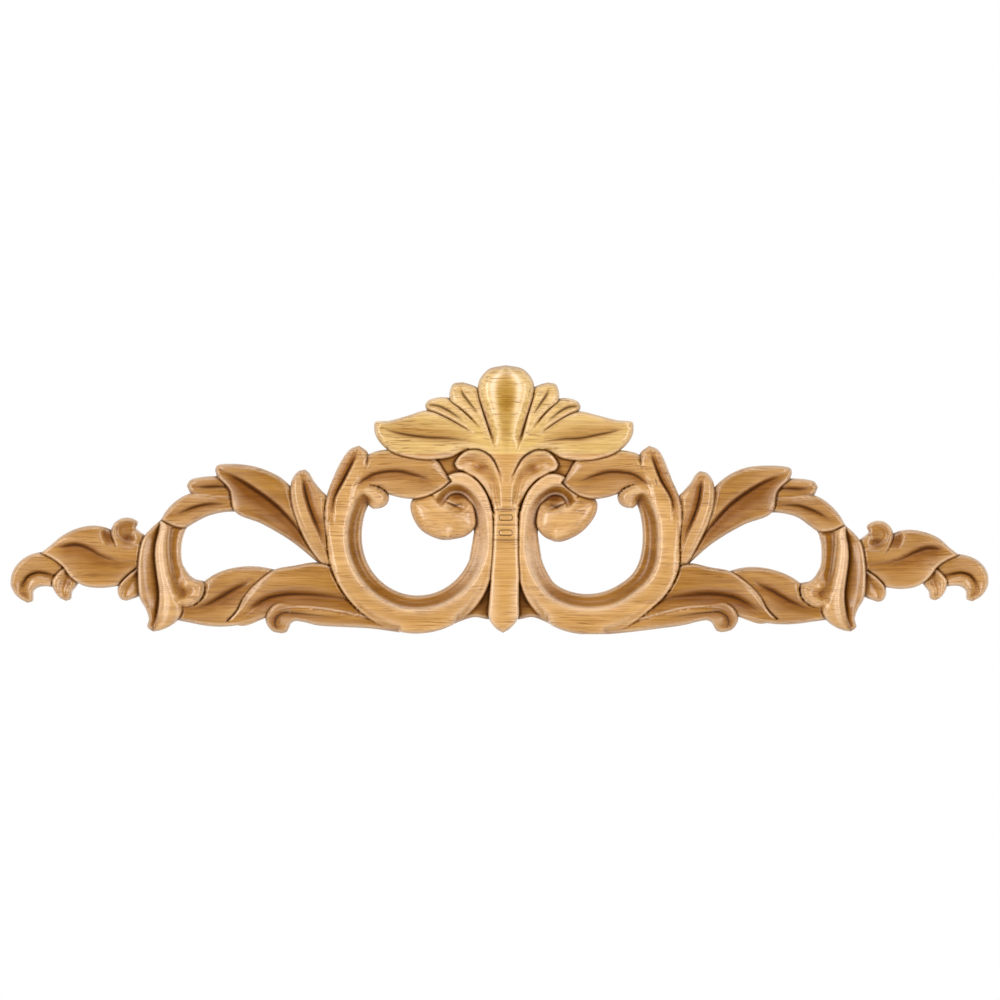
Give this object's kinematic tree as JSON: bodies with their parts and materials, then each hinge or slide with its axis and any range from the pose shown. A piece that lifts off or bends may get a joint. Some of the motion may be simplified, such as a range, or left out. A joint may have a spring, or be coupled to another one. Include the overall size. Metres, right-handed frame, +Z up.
{
  "type": "acanthus onlay",
  "caption": "Long pierced wood carving with a palmette, C-scrolls and acanthus leaf sprays, flat at the back so that it can be glued to furniture.",
  "frame": {"origin": "on the flat back face, behind the middle stem at half the height", "axes": "+X to the viewer's right along the length, +Z up, +Y out of the back, so the carving faces -Y"},
  "size_m": [0.2999, 0.011, 0.0825],
  "materials": {
    "crest_wood": "satin clear finish on pale carved hardwood, grain running along the length",
    "scroll_wood": "satin clear finish on slightly pinker carved hardwood, grain running along the length"
  },
  "bodies": {
    "root": {"crest_board": "crest_wood", "scroll_board": "scroll_wood"}
  },
  "joints": []
}
